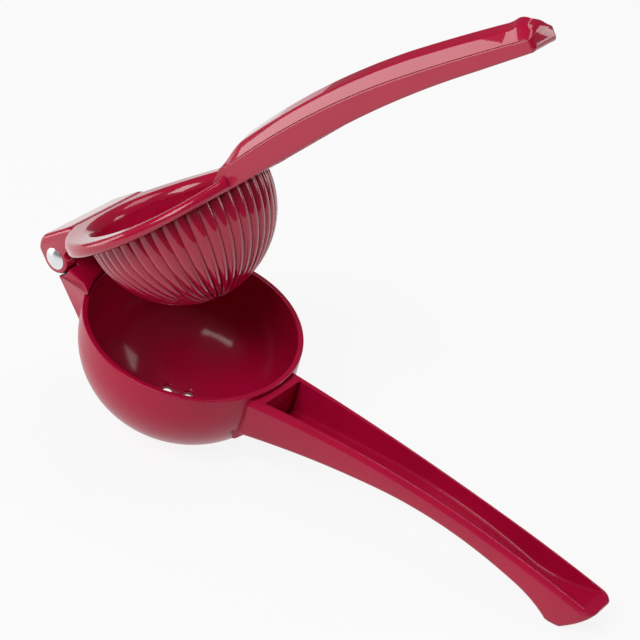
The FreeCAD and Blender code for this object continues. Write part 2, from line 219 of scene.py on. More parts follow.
@dataclass
class Placer:
    """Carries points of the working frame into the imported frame.

    The lower casting only leans by the resting angle; the press is also swung open about
    the hinge. The hinge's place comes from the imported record.
    """

    hinge: Vector
    lean: float = math.radians(13.5)
    swing: float = math.radians(45.9)
    hinge_x: float = -47.75
    hinge_z: float = 2.3

    def matrix(self, opened: bool) -> Matrix:
        """Gives the matrix from working millimetres to packed metres.

        Args:
            opened: Whether the piece swings with the press.

        Returns:
            The matrix.
        """
        home = Matrix.Translation(Vector((-self.hinge_x, 0, -self.hinge_z)))
        turn = self.lean - (self.swing if opened else 0.0)
        return Matrix.Translation(self.hinge) @ Matrix.Rotation(turn, 4, "Y") @ Matrix.Scale(MM, 4) @ home


def make_object(name: str, points: Array, faces: list, matrix: Matrix, angle: float = 40.0) -> Piece:
    """Makes a smooth mesh object from points and faces, with outward normals.

    Args:
        name: Name of the piece.
        points: Array (n, 3) in working millimetres.
        faces: Lists of point numbers.
        matrix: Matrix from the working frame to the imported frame.
        angle: Edges that turn by more degrees than this stay sharp.

    Returns:
        The new object, linked to the scene.
    """
    mesh = bpy.data.meshes.new(name)
    mesh.from_pydata(points.tolist(), [], faces)
    mesh.transform(matrix)
    work = bmesh.new()
    work.from_mesh(mesh)
    bmesh.ops.remove_doubles(work, verts=work.verts, dist=1e-6)
    bmesh.ops.dissolve_degenerate(work, edges=work.edges, dist=1e-7)
    bmesh.ops.recalc_face_normals(work, faces=work.faces)
    work.to_mesh(mesh)
    work.free()
    mesh.shade_smooth()
    mesh.set_sharp_from_angle(angle=math.radians(angle))
    piece = bpy.data.objects.new(name, mesh)
    bpy.context.scene.collection.objects.link(piece)
    return piece


def grid_faces(rows: int, columns: int, wrap: bool, first: int = 0) -> list:
    """Quads between the rows of a grid.

    Args:
        rows: Number of rows.
        columns: Points in each row.
        wrap: Whether the last column is joined to the first.
        first: Number of the grid's first point.

    Returns:
        Lists of four point numbers.
    """
    r = np.arange(rows - 1)[:, None] * columns
    c = np.arange(columns if wrap else columns - 1)[None, :]
    d = (c + 1) % columns
    quads = np.stack([r + c, r + d, r + columns + d, r + columns + c], -1).reshape(-1, 4) + first
    return quads.tolist()


def loft(sections: Array) -> tuple:
    """Joins closed sections into a capped tube.

    Args:
        sections: Array (stations, points, 3).

    Returns:
        Points (n, 3) and faces.
    """
    rows, columns = sections.shape[:2]
    faces = grid_faces(rows, columns, True)
    faces.append(list(range(columns))[::-1])
    faces.append(list(range((rows - 1) * columns, rows * columns)))
    return sections.reshape(-1, 3), faces


def turned(radius: Array, height: Array, count: int) -> tuple:
    """Turns a closed or pole-to-pole profile about Z: x = r cos a, y = r sin a, z = height.

    Args:
        radius: Radii of the profile; zero at a pole.
        height: Heights of the profile.
        count: Steps round the axis.

    Returns:
        Points (n, 3) and faces.
    """
    angle = np.linspace(0, 2 * np.pi, count, endpoint=False)
    r = np.broadcast_to(radius[:, None], (len(radius), count))
    z = np.broadcast_to(height[:, None], r.shape)
    points = np.stack([r * np.cos(angle), r * np.sin(angle), z], -1)
    return points.reshape(-1, 3), grid_faces(len(radius), count, True)


def join(parts: list) -> tuple:
    """Puts several shapes together.

    Args:
        parts: The shapes, each as points and faces.

    Returns:
        Points (n, 3) and faces.
    """
    points, faces, first = [], [], 0
    for part_points, part_faces in parts:
        points.append(part_points)
        faces += [[index + first for index in face] for face in part_faces]
        first += len(part_points)
    return np.concatenate(points), faces


def rim_prism(outline: Array, low: float, high: float, edge: float, across: int) -> tuple:
    """Carries a closed outline in XZ along Y, with its end edges rounded.

    Near each end the outline shrinks along its normals by edge minus the root of
    edge^2 - t^2, where t is how far the station lies within the last edge of the run.

    Args:
        outline: Array (n, 2) of x and z.
        low: Lowest y.
        high: Highest y.
        edge: Radius of the rounded end edges.
        across: Number of stations between the rounded ends.

    Returns:
        Points (n, 3) and faces.
    """
    ahead = np.roll(outline, -1, 0) - np.roll(outline, 1, 0)
    ahead /= np.maximum(np.linalg.norm(ahead, axis=1), 1e-9)[:, None]
    area = (outline[:, 0] * np.roll(outline[:, 1], -1) - np.roll(outline[:, 0], -1) * outline[:, 1]).sum()
    inward = np.stack([-ahead[:, 1], ahead[:, 0]], -1) * (1 if area > 0 else -1)
    turn = np.linspace(0, RIGHT_ANGLE, 5)
    start = low + edge * (1 - np.sin(turn))
    stop = high - edge * (1 - np.sin(turn))
    y = np.concatenate([start[::-1], np.linspace(low + edge, high - edge, across)[1:-1], stop])
    shrink = np.concatenate([
        edge * (1 - np.cos(turn[::-1])), np.zeros(across - 2), edge * (1 - np.cos(turn))])
    flat = outline[None] + inward[None] * shrink[:, None, None]
    ys = np.broadcast_to(y[:, None], flat.shape[:2])
    return loft(np.stack([flat[..., 0], ys, flat[..., 1]], -1))


def push_out(points: Array, radius: float, where: Array) -> None:
    """Moves points that are too near to the Z axis out to a radius, in place.

    Args:
        points: Array (n, 3), which is changed.
        radius: Least distance from the axis.
        where: Which points may move.
    """
    r = np.hypot(points[:, 0], points[:, 1])
    near = where & (r < radius) & (r > 1e-6)
    points[near, :2] *= (radius / r[near])[:, None]


def drill(piece: Piece, places: list, radius: float, pole: float, matrix: Matrix) -> None:
    """Cuts round holes square to the rim through the pole of a bowl.

    Args:
        piece: The object that is cut.
        places: Centres of the holes, (x, y).
        radius: Radius of the holes.
        pole: Height of the bowl's lowest point.
        matrix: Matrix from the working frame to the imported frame.
    """
    reach = 5.0
    around = 40
    r = np.array([0.0, radius, radius, 0.0])
    z = pole + np.array([-reach, -reach, reach, reach])
    points, faces = turned(r, z, around)
    bits = [(points + np.array([x, y, 0.0]), faces) for x, y in places]
    cutter = make_object("drill", *join(bits), matrix)
    cut = piece.modifiers.new("drain", "BOOLEAN")
    cut.operation = "DIFFERENCE"
    cut.solver = "EXACT"
    cut.object = cutter
    depsgraph = bpy.context.evaluated_depsgraph_get()
    mesh = bpy.data.meshes.new_from_object(piece.evaluated_get(depsgraph))
    piece.modifiers.clear()
    piece.data = mesh
    bpy.data.objects.remove(cutter)


# Finishes


@dataclass
class Wiring:
    """The nodes and links of one material."""

    material: bpy.types.Material

    @classmethod
    def start(cls, name: str) -> "Wiring":
        """Starts a new material with a Principled shader.

        Args:
            name: Name of the material.

        Returns:
            The wiring.
        """
        material = bpy.data.materials.new(name)
        material.use_nodes = True
        return cls(material)

    @property
    def shader(self) -> Node:
        """The material's Principled shader."""
        return self.material.node_tree.nodes["Principled BSDF"]

    def add(self, kind: str, **values: float) -> Node:
        """Adds a node.

        Args:
            kind: Blender's name of the node type.
            values: Input values by name, with an underscore for a space.

        Returns:
            The node.
        """
        node = self.material.node_tree.nodes.new(kind)
        for name, value in values.items():
            node.inputs[name.replace("_", " ")].default_value = value
        return node

    def math(self, operation: str, *terms: Union[Socket, float]) -> Socket:
        """Adds a calculation with two terms.

        Args:
            operation: Blender's name of the calculation.
            terms: The two terms, each an output of a node or a number.

        Returns:
            The output that holds the result.
        """
        node = self.add("ShaderNodeMath")
        node.operation = operation
        for socket, term in zip(node.inputs, terms):
            if isinstance(term, (int, float)):
                socket.default_value = term
            else:
                self.link(term, socket)
        return node.outputs["Value"]

    def link(self, source: Socket, target: Socket) -> None:
        """Joins an output to an input."""
        self.material.node_tree.links.new(source, target)

    def noise(self, scale: float, detail: float) -> Socket:
        """Adds a noise that sits in the piece's own coordinates.

        Args:
            scale: How fine the noise is.
            detail: How many finer layers it has.

        Returns:
            The noise's output.
        """
        place = self.add("ShaderNodeTexCoord")
        noise = self.add("ShaderNodeTexNoise", Scale=scale, Detail=detail)
        self.link(place.outputs["Object"], noise.inputs["Vector"])
        return noise.outputs["Fac"]

    def vary_roughness(self, noise: Socket, low: float, high: float) -> None:
        """Lets a noise move the shader's roughness.

        Args:
            noise: Output of the noise.
            low: Roughness where the noise is 0.
            high: Roughness where the noise is 1.
        """
        haze = self.add("ShaderNodeMapRange", To_Min=low, To_Max=high)
        self.link(noise, haze.inputs["Value"])
        self.link(haze.outputs["Result"], self.shader.inputs["Roughness"])

    def raise_skin(self, noise: Socket, strength: float, height: float) -> None:
        """Lets a noise bump the shader's surface.

        Args:
            noise: Output of the noise.
            strength: Share of the bump that shows.
            height: Height of the bump, in metres.
        """
        bump = self.add("ShaderNodeBump", Strength=strength, Distance=height)
        self.link(noise, bump.inputs["Height"])
        self.link(bump.outputs["Normal"], self.shader.inputs["Normal"])

    def blend(self, share: Socket, first: Union[Socket, tuple], second: Union[Socket, tuple]) -> Socket:
        """Mixes two colours.

        Args:
            share: Output that is 0 for the first colour and 1 for the second.
            first: A colour or an output.
            second: A colour or an output.

        Returns:
            The mixed colour's output.
        """
        mix = self.add("ShaderNodeMix")
        mix.data_type = "RGBA"
        self.link(share, mix.inputs["Factor"])
        for socket, colour in (("A", first), ("B", second)):
            if isinstance(colour, tuple):
                mix.inputs[socket].default_value = (*colour, 1)
            else:
                self.link(colour, mix.inputs[socket])
        return mix.outputs["Result"]


@dataclass(frozen=True)
class Enamel:
    """Coloured enamel baked on cast metal."""

    name: str
    colour: tuple
    roughness: float
    coat: float
    coat_roughness: float
    ripple: float
    index: float = 1.52
    under_gloss: float = 0.1
    drift: tuple = (0.82, 1.12)
    drift_scale: float = 38.0
    haze: tuple = (0.85, 1.2)
    skin_scale: float = 420.0
    skin_height: float = 0.0004
    # Painted shade in nooks: how far the occlusion looks, the range it is spread over, and how dark the
    # colour gets there.
    shade_reach: float = 0.0018
    shade_range: tuple = (0.45, 0.85)
    painted_shade_tone: float = 0.25

    def tinted(self, share: float) -> tuple:
        """The colour, made darker or lighter by a share."""
        return tuple(min(1, part * share) for part in self.colour)

    def build(self) -> bpy.types.Material:
        """Makes the material: a clear-coated colour with faint drifts, a cast ripple and painted shade in
        nooks.

        Returns:
            The material.
        """
        wiring = Wiring.start(self.name)
        shader = wiring.shader
        shader.inputs["Metallic"].default_value = 0.0
        shader.inputs["IOR"].default_value = self.index
        shader.inputs["Specular IOR Level"].default_value = self.under_gloss
        shader.inputs["Coat Roughness"].default_value = self.coat_roughness
        shader.inputs["Coat IOR"].default_value = self.index
        drift = wiring.noise(self.drift_scale, 4.0)
        tone = wiring.blend(drift, *(self.tinted(share) for share in self.drift))
        wiring.vary_roughness(drift, *(self.roughness * share for share in self.haze))
        wiring.raise_skin(wiring.noise(self.skin_scale, 3.0), self.ripple, self.skin_height)
        unshaded_share = self.unshaded_share(wiring)
        # Painted shade: the colour darkens in nooks found by ambient occlusion.
        colour = wiring.blend(unshaded_share, self.tinted(self.painted_shade_tone), tone)
        wiring.link(colour, shader.inputs["Base Color"])
        # Painted shade: the coat, and with it the reflection, fades in the same nooks.
        wiring.link(wiring.math("MULTIPLY", unshaded_share, self.coat), shader.inputs["Coat Weight"])
        return wiring.material

    def unshaded_share(self, wiring: Wiring) -> Socket:
        """Tells open surfaces from nooks, where shade is painted.

        Args:
            wiring: The material's wiring.

        Returns:
            An output that is 1 on open surfaces and falls to 0 in nooks, where the painted shade goes.
        """
        # Ambient occlusion finds the nooks that get painted shade.
        shade_probe = wiring.add("ShaderNodeAmbientOcclusion", Distance=self.shade_reach)
        shade_probe.samples = 8
        low, high = self.shade_range
        spread = wiring.add("ShaderNodeMapRange", From_Min=low, From_Max=high)
        wiring.link(shade_probe.outputs["AO"], spread.inputs["Value"])
        return spread.outputs["Result"]


@dataclass(frozen=True)
class Steel:
    """Bright turned steel of the hinge pin."""

    name: str = "pin_steel"
    colour: tuple = (0.82, 0.82, 0.84)
    roughness: float = 0.28
    haze: tuple = (0.7, 1.4)
    mark_scale: float = 900.0
    mark_strength: float = 0.12
    mark_height: float = 0.0002

    def build(self) -> bpy.types.Material:
        """Makes the material: metal with fine uneven polish marks.

        Returns:
            The material.
        """
        wiring = Wiring.start(self.name)
        wiring.shader.inputs["Base Color"].default_value = (*self.colour, 1)
        wiring.shader.inputs["Metallic"].default_value = 1.0
        marks = wiring.noise(self.mark_scale, 5.0)
        wiring.vary_roughness(marks, *(self.roughness * share for share in self.haze))
        wiring.raise_skin(marks, self.mark_strength, self.mark_height)
        return wiring.material


SATIN_RED = Enamel("enamel_satin", (0.48, 0.002, 0.044), 0.42, 0.45, 0.12, 0.08)
GLOSS_RED = Enamel("enamel_gloss", (0.48, 0.002, 0.040), 0.34, 1.0, 0.03, 0.03)


# Lower casting


@dataclass
class LowerCasting:
    """The bowl, its channel handle and the barrel of the hinge."""

    placer: Placer
    rim_radius: float = 37.0
    wall: float = 2.0
    straight: float = 7.2
    knuckle: float = 31.0
    crown: float = 40.0
    rim_edge: float = 0.55
    land: float = 6.0
    land_lift: float = 0.005
    drain: float = 1.8
    drain_ring: float = 7.2
    root: float = 30.0
    tip: float = 165.25
    tip_edge: float = 0.7
    tip_wall: float = 1.7
    channel: float = 39.8
    waist: tuple = (28.0, 12.4)
    waist_bow: float = 860.0
    inner_waist: float = 8.6
    inner_bow: float = 1150.0
    grip_start: float = 128.0
    grip: float = 6.54
    inner_grip: float = 5.14
    side_wall: float = 1.1
    tip_corner: float = 4.0
    inner_corner: float = 3.0
    bevel: tuple = (0.9, 2.2)
    draft: float = 0.6
    section_radii: tuple = (0, 1.8, 0.7, 0.35, 0.35, 1.6, 0)
    block_half: float = 18.0
    barrel: float = 4.4
    barrel_half: float = 13.7
    seat: float = 6.3

    def crown_centre(self) -> float:
        """Height of the centre of the crown arc."""
        offset, gap = self.rim_radius - self.knuckle, self.crown - self.knuckle
        return -self.straight + math.sqrt(gap ** 2 - offset ** 2)

    def half_section(self, wall: float, steps: int) -> tuple:
        """Half of the bowl's section, from the pole to the straight side.

        The crown arc runs from the pole to the point where it is tangent to the knuckle
        arc, which runs on to the straight side.

        Args:
            wall: How far the section is inset.
            steps: Points on the crown arc; the knuckle arc has twice as many.

        Returns:
            Radii and heights.
        """
        offset, gap = self.rim_radius - self.knuckle, self.crown - self.knuckle
        meet = math.asin(offset / gap)
        a = np.linspace(0, meet, steps)
        b = np.linspace(meet, RIGHT_ANGLE, steps * 2)[1:]
        crown, knuckle = self.crown - wall, self.knuckle - wall
        r = np.concatenate([crown * np.sin(a), offset + knuckle * np.sin(b)])
        z = np.concatenate([self.crown_centre() - crown * np.cos(a), -self.straight - knuckle * np.cos(b)])
        return r, z

    def bowl(self) -> tuple:
        """Turns the bowl: outside, rounded rim and inside as one closed skin.

        The land is flat: points that lie deeper than its plane, along the direction that
        is down once the casting leans, are moved up to it.

        Returns:
            Points (n, 3) and faces.
        """
        steps, around = 14, 224
        ro, zo = self.half_section(0.0, steps)
        ri, zi = self.half_section(self.wall, steps)
        inside = self.rim_radius - self.wall
        top = [(ro[-1], zo[-1]), (self.rim_radius, 0.0), (inside, 0.0), (ri[-1], zi[-1])]
        rim = rounded_path(np.array([top]), (0, self.rim_edge, self.rim_edge, 0), steps=4)[0]
        r = np.concatenate([ro[:-1], rim[:, 0], ri[::-1][1:]])
        z = np.concatenate([zo[:-1], rim[:, 1], zi[::-1][1:]])
        points, faces = turned(r, z, around)
        lean = self.placer.lean
        down = np.array([math.sin(lean), 0.0, -math.cos(lean)])
        depth = math.sqrt(self.crown ** 2 - self.land ** 2) - self.land_lift
        middle = np.array([0, 0, self.crown_centre()])
        over = (points - middle) @ down - depth
        lowest = over > 0
        points[lowest] -= over[lowest, None] * down
        return points, faces

    def drain_places(self) -> list:
        """Centres of the drain holes: one in the middle and six on a ring, from 30 degrees on."""
        turns = np.radians(30 + 60 * np.arange(6))
        ring = [(self.drain_ring * math.cos(t), self.drain_ring * math.sin(t)) for t in turns]
        return [(0.0, 0.0)] + ring

    def edge_chain(self) -> Chain:
        """The handle's open edges: one long arc."""
        return Chain(((28, -3.35), (self.tip - self.tip_edge, 9.7)), ((480, Side.BELOW),))

    def underside(self) -> Chain:
        """The handle's underside, down to its foot and up the end face."""
        points = ((28, -20.3), (84, -3.3), (140, 0), (152.3, -4.6), (156.77, -3.53), (self.tip, 8.7))
        arcs = ((510, Side.BELOW), (150, Side.BELOW), (32, Side.BELOW), None, (60, Side.ABOVE))
        return Chain(points, arcs)

    def channel_floor(self) -> Chain:
        """The channel's floor, which sweeps up to a thin lip at the tip."""
        points = ((self.channel, -13.9), (84, -1.1), (138, 2.2), (self.tip - self.tip_wall, 10.7))
        arcs = ((510, Side.BELOW), (152, Side.BELOW), (42, Side.ABOVE))
        return Chain(points, arcs)

    def half_width(self, x: Array, start: tuple, grip: float, bow: float) -> Array:
        """Half width in plan: a waist arc and then the straight sides of the grip.

        Args:
            x: Places along the handle.
            start: First point of the arc, (x, half width).
            grip: Half width of the straight sides.
            bow: Radius of the arc.

        Returns:
            The half widths, one for each x.
        """
        w = np.full_like(x, grip)
        curved = x < self.grip_start
        w[curved] = arc_height(x[curved], start, (self.grip_start, grip), bow, Side.ABOVE)
        return w

    @staticmethod
    def tip_round(x: Array, w: Array, end: float, corner: float) -> Array:
        """Rounds the plan corners at the tip: the width shrinks along a quarter circle."""
        into = np.clip(x - (end - corner), 0, corner)
        return w - corner + np.sqrt(np.maximum(corner ** 2 - into ** 2, 0))

    def stations(self) -> Array:
        """Places along the handle, closer together at the tip and at the channel's end wall."""
        x = refine([self.root, 34, 38, self.channel - HAIR], 1.0)
        x = np.concatenate([x, refine([self.channel + HAIR, 44, 140, 152, 162, 164.4, self.tip], 1.3)])
        return np.sort(np.concatenate([x, refine([163.2, 165.2, self.tip], 0.12)[1:-1]]))

    def handle(self) -> tuple:
        """Carries the channel section along the handle, with its end wall near the bowl.

        Returns:
            Points (n, 3) and faces.
        """
        x = self.stations()
        top = self.edge_chain().height(np.minimum(x, self.tip - self.tip_edge))
        under = self.underside().height(x)
        w = self.half_width(x, self.waist, self.grip, self.waist_bow)
        w = self.tip_round(x, w, self.tip + 0.05, self.tip_corner)
        inner = self.half_width(x, (self.channel, self.inner_waist), self.inner_grip, self.inner_bow)
        stop = self.tip - self.tip_wall - HAIR
        hollow = (x > self.channel) & (x < stop)
        inner = self.tip_round(np.minimum(x, stop), inner, self.tip - self.tip_wall, self.inner_corner)
        inner = np.maximum(np.minimum(inner, w - self.side_wall), 0.3)
        floor = np.where(hollow, np.minimum(self.channel_floor().height(x), top - 0.05), top - 0.04)
        top = np.maximum(top, under + 0.5)
        zero = np.zeros_like(x)
        drop, band = self.bevel
        band = np.minimum(band, (top - under) * 0.4)
        draft = np.minimum(self.draft, (top - under) * 0.05)
        corners = np.stack([
            np.stack([zero, under], -1),
            np.stack([w - draft, under], -1),
            np.stack([w, top - band], -1),
            np.stack([w - drop, top], -1),
            np.stack([inner, top], -1),
            np.stack([np.maximum(inner - 0.25, 0.2), floor], -1),
            np.stack([zero, floor], -1)], 1)
        half = rounded_path(corners, self.section_radii, steps=5)
        loop = mirror_loop(half)
        xs = np.broadcast_to(x[:, None], loop.shape[:2])
        sections = np.stack([xs, loop[..., 0], loop[..., 1]], -1)
        points, faces = loft(sections)
        push_out(points, self.rim_radius - 1.0, points[:, 0] < self.rim_radius - 0.5)
        return points, faces

    def lug(self) -> list:
        """Makes the block behind the bowl and the arm with the barrel between the ears.

        Returns:
            The two shapes, each as points (n, 3) and faces.
        """
        hx, hz = self.placer.hinge_x, self.placer.hinge_z
        turn = np.radians(np.linspace(-63, -3, 12))
        hollow = np.stack([hx + self.seat * np.cos(turn), hz + self.seat * np.sin(turn)], -1)
        back = np.array([(-40.4, 2.1), (-34, 1.4), (-26, 1.4), (-26, -13.2), (-34.2, -13.2)])
        outline = np.concatenate([hollow, back])
        block = rim_prism(outline, -self.block_half, self.block_half, 0.7, 26)
        turn = np.radians(np.linspace(10, 292, 34))
        barrel = np.stack([hx + self.barrel * np.cos(turn), hz + self.barrel * np.sin(turn)], -1)
        arm = [(-43.2, -4.8), (-34.2, -13.2), (-26, -13.2), (-26, 1.4), (-34, 1.4), (-40.4, 2.08)]
        outline = np.concatenate([barrel, np.array(arm)])
        tongue = rim_prism(outline, -self.barrel_half, self.barrel_half, 0.4, 20)
        for points, _ in (block, tongue):
            push_out(points, self.rim_radius - 1.1, points[:, 0] < 0)
        return [block, tongue]

    def build(self) -> Piece:
        """Builds the casting as one piece and rides it on the base.

        Returns:
            The piece.
        """
        matrix = self.placer.matrix(False)
        shapes = join([self.bowl(), self.handle()] + self.lug())
        piece = make_object("lower_casting_skin", *shapes, matrix)
        drill(piece, self.drain_places(), self.drain, self.crown_centre() - self.crown, matrix)
        piece.data.materials.append(SATIN_RED.build())
        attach(piece, "base")
        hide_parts("lower_casting")
        return piece


# Upper casting


@dataclass
class UpperCasting:
    """The ribbed press with its lip, the hinge hood with its ears, and the upper handle."""

    placer: Placer
    press_z: float = 4.4
    press: float = 31.4
    cavity: float = 29.0
    mouth: float = 3.4
    mouth_flare: float = 2.6
    ribs: int = 46
    rib_height: float = 0.8
    flange: float = 38.4
    under: float = 3.35
    bow: float = 200.0
    lip_round: float = 2.0
    lip_under: float = 1.5
    half_hinge: float = 18.0
    slot_half: float = 14.05
    slot: float = 4.75
    ear: float = 5.7
    back: float = -53.4
    hood_top: float = 11.0
    corner: float = 5.1
    fairing: float = 13.0
    fairing_flat: float = 3.5
    fairing_start: float = 26.0
    root: float = 31.0
    waist: float = 10.3
    waist_bow: float = 1060.0
    inner_waist: float = 8.0
    inner_bow: float = 960.0
    grip_start: float = 128.0
    grip: float = 5.7
    inner_grip: float = 4.1
    side_wall: float = 1.2
    roof_wall: float = 2.6
    flare_start: float = 150.0
    flare_roof: float = 25.0
    tip: float = 162.3
    tip_corner: float = 1.4
    channel: tuple = (41.5, 159.0)
    shoulder: float = 5.2
    shoulder_cut: tuple = (2.7, 1.5)
    groove: float = 0.22
    section_radii: tuple = (0, 2.6, 0.3, 0, 0.12, 1.6, 0.5, 0.3, 1.4, 0)

    def ridge_height(self, x: Array) -> Array:
        """Height of the handle's ridge: a fairing out of the lip, long arcs and a flare at the tip.

        Args:
            x: Places along the handle.

        Returns:
            The heights, one for each x.
        """
        points = ((38.8, 19.3), (118, 28.3), (152, 27.2), (155.9, 27.4), (self.tip, 23.4))
        arcs = ((347, Side.BELOW), (900, Side.BELOW), (14, Side.ABOVE), (5.1, Side.BELOW))
        foot, middle, head = (self.fairing_start, 9.0, 0.10), (36.0, 14.9, 0.90), (46.0, 20.95, 0.21)
        z = s_curve(x, foot, middle, Chain(points, arcs).height(x))
        return s_curve(x, middle, head, z)

    def shoulder_line(self) -> Chain:
        """The ridge without its fairing and flare, which the crease of the shoulders follows."""
        points = ((38.8, 19.3), (118, 28.3), (self.tip, 27.4))
        return Chain(points, ((347, Side.BELOW), (900, Side.BELOW)))

    def bottom_edges(self) -> Chain:
        """The handle's lower edges."""
        points = ((26, 5.1), (38, 7.0), (72, 12.4), (140, 18.0), (self.tip - 1.3, 18.3), (self.tip, 20.0))
        return Chain(points, (None, None, (413, Side.BELOW), None, (1.6, Side.ABOVE)))

    def crest_height(self, x: Array, y: Array) -> Array:
        """Height of the lip's top: a saddle in x, with the handle's fairing in its middle.

        The fairing's share falls off smoothly sideways, from 1 over the middle of the
        handle to 0 a little beyond its sides.

        Args:
            x: Places along the casting.
            y: Places across it.

        Returns:
            The heights.
        """
        x, y = np.broadcast_arrays(np.asarray(x, float), np.asarray(y, float))
        points = ((-60, self.hood_top), (-37, self.hood_top), (-34, 10.5), (2, 7.4), (26, 8.7), (40, 12.2))
        arcs = (None, (8, Side.BELOW), (220, Side.ABOVE), (170, Side.ABOVE), (60, Side.ABOVE))
        saddle = Chain(points, arcs).height(x)
        share = np.clip((self.fairing - np.abs(y)) / (self.fairing - self.fairing_flat), 0, 1)
        share = share ** 2 * (3 - 2 * share)
        rise = np.maximum(self.ridge_height(np.maximum(x, self.fairing_start)) - saddle, 0)
        return saddle + np.where(x > self.fairing_start, rise * share, 0)

    def under_height(self, x: Array) -> Array:
        """Height of the lip's underside: flat over the hinge half, then an upward bow."""
        return self.under + np.maximum(x, 0) ** 2 / (2 * self.bow)

    def edge_distance(self, x: Array, y: Array) -> Array:
        """Distance inwards from the plan outline: the round lip joined to the hinge tongue."""
        tongue = np.where(x < 0, self.half_hinge - np.abs(y), -np.inf)
        return np.maximum(self.flange - np.hypot(x, y), tongue)

    def drop(self, distance: Array, radius: float) -> Array:
        """How far a rounded edge lies below the crest: a quarter circle of the radius."""
        d = np.clip(distance, 0, radius)
        return radius - np.sqrt(np.maximum(radius ** 2 - (radius - d) ** 2, 0))

    def lip_top(self, x: Array, y: Array) -> Array:
        """Height of the lip's top with its outer edge rounded."""
        return self.crest_height(x, y) - self.drop(self.edge_distance(x, y), self.lip_round)

    def cup(self) -> tuple:
        """Makes the press and its lip as one closed skin, from the inner pole to the outer one.

        Returns:
            Points (n, 3) and faces.
        """
        count = self.ribs * 14
        a = np.linspace(0, 2 * np.pi, count, endpoint=False)[None]
        rows = []

        def add(radius: Union[Array, float], height: Union[Array, float]) -> None:
            """Adds one ring; a radius or height is a number or has one value for each angle."""
            radius, height = np.broadcast_arrays(radius + 0 * a, height + 0 * a)
            rows.append(np.stack([radius * np.cos(a), radius * np.sin(a), height], -1)[0])

        def add_top(radius: float) -> None:
            """Adds one ring of the lip's top."""
            add(radius, self.lip_top(radius * np.cos(a), radius * np.sin(a)))

        for t in np.radians(np.linspace(90, 0, 26)):
            add(self.cavity * math.cos(t), self.press_z - self.cavity * math.sin(t))
        lip = self.crest_height(self.cavity * np.cos(a), self.cavity * np.sin(a))
        for share in (0.35, 0.7, 1.0):
            add(self.cavity, self.press_z + (lip - self.mouth - self.press_z) * share)
        for t in np.linspace(0, RIGHT_ANGLE, 10)[1:]:
            r = self.cavity + self.mouth_flare * (1 - math.cos(t))
            add(r, self.crest_height(r * np.cos(a), r * np.sin(a)) - self.mouth * (1 - math.sin(t)))
        flat = self.cavity + self.mouth_flare
        for share in np.linspace(0, 1, 8)[1:]:
            add_top(flat + (self.flange - self.lip_round - flat) * share)
        for t in np.linspace(0, RIGHT_ANGLE, 8)[1:]:
            add_top(self.flange - self.lip_round * (1 - math.sin(t)))
        x, y = self.flange * np.cos(a), self.flange * np.sin(a)
        low, high = self.under_height(x), self.lip_top(x, y)
        for share in (0.4, 0.8):
            add(self.flange, high + (low + self.lip_under - high) * share)
        for t in np.linspace(0, RIGHT_ANGLE, 7):
            r = self.flange - self.lip_under * (1 - math.cos(t))
            add(r, low + self.lip_under * (1 - math.sin(t)))
        self.add_ribs(add, a)
        sections = np.stack(rows)
        return sections.reshape(-1, 3), grid_faces(len(rows), count, True)

    def add_ribs(self, add: Callable, a: Array) -> None:
        """Adds the rings of the ribbed outside, from the lip's underside to the pole.

        Each rib is a parabola across its pitch, so that the valleys are sharp, and it
        fades to nothing near the pole.

        Args:
            add: Takes the radii and heights of one ring.
            a: Angles round the press.
        """
        root = self.under_height(self.press * np.cos(a))
        first = np.arcsin(np.clip((self.press_z - root) / self.press, 0, 1))
        phase = (a * self.ribs / (2 * np.pi)) % 1
        rib = self.rib_height * (1 - (2 * phase - 1) ** 2) - self.rib_height
        wall = np.maximum(root, self.press_z - self.press * np.sin(first))
        add(self.press + 0.7, root)
        add(self.press + rib, wall)
        for share in np.linspace(0, 1, 44)[1:]:
            t = first + (math.radians(89.0) - first) * share
            fade = np.clip((np.radians(88) - t) / np.radians(10), 0, 1)
            r = self.press + rib * fade
            add(r * np.cos(t), self.press_z - r * np.sin(t))
        add(0.0, self.press_z - self.press)

    def hood(self) -> tuple:
        """Makes the roof over the barrel and the two ears, as outlines carried across the hinge.

        Returns:
            Points (n, 3) and faces.
        """
        hx, hz = self.placer.hinge_x, self.placer.hinge_z
        edge = 2.0
        gap = self.slot_half - 0.01, self.slot_half + 0.01
        side = self.half_hinge - edge * (1 - np.sin(np.linspace(0, RIGHT_ANGLE, 7)))
        ear = np.linspace(gap[1], 15.9, 3)
        y = np.concatenate([-side[::-1], -ear[::-1], np.linspace(-gap[0], gap[0], 24), ear, side])
        turn = np.linspace(0, RIGHT_ANGLE, 12)
        corner_x = self.back + self.corner * (1 - np.cos(turn))
        top_x = np.concatenate([corner_x, refine([corner_x[-1], -30], 0.8)[1:]])
        top = self.crest_height(top_x, 0.0)
        top[:12] -= self.corner * (1 - np.sin(turn))
        turn = np.radians(np.linspace(0, -180, 25))
        outlines = []
        for place in y:
            in_ear = abs(place) > self.slot_half
            low = float(self.drop(np.array(self.half_hinge - abs(place)), edge))
            inset = low * 0.5
            if in_ear:
                x = hx + (self.ear - inset) * np.cos(turn)
                z = hz + (self.ear - inset) * np.sin(turn)
            else:
                x = hx + self.slot * np.cos(-turn)
                z = np.maximum(hz + self.slot * np.sin(-turn), self.under + 0.05)
                x[-1] = hx - self.slot
            under = np.stack([x, z], -1)
            front = np.array([(-30.0, self.under + 0.3), (-41.2, self.under + 0.02)])
            rear = np.array([(self.back + inset, hz if in_ear else self.under + 0.02)])
            roof = np.stack([np.maximum(top_x, self.back + inset), top - low - 0.02], -1)
            outlines.append(np.concatenate([roof, front, under, rear]))
        flat = np.stack(outlines)
        ys = np.broadcast_to(y[:, None], flat.shape[:2])
        points, faces = loft(np.stack([flat[..., 0], ys, flat[..., 1]], -1))
        push_out(points, 33.0, points[:, 0] < 0)
        return points, faces

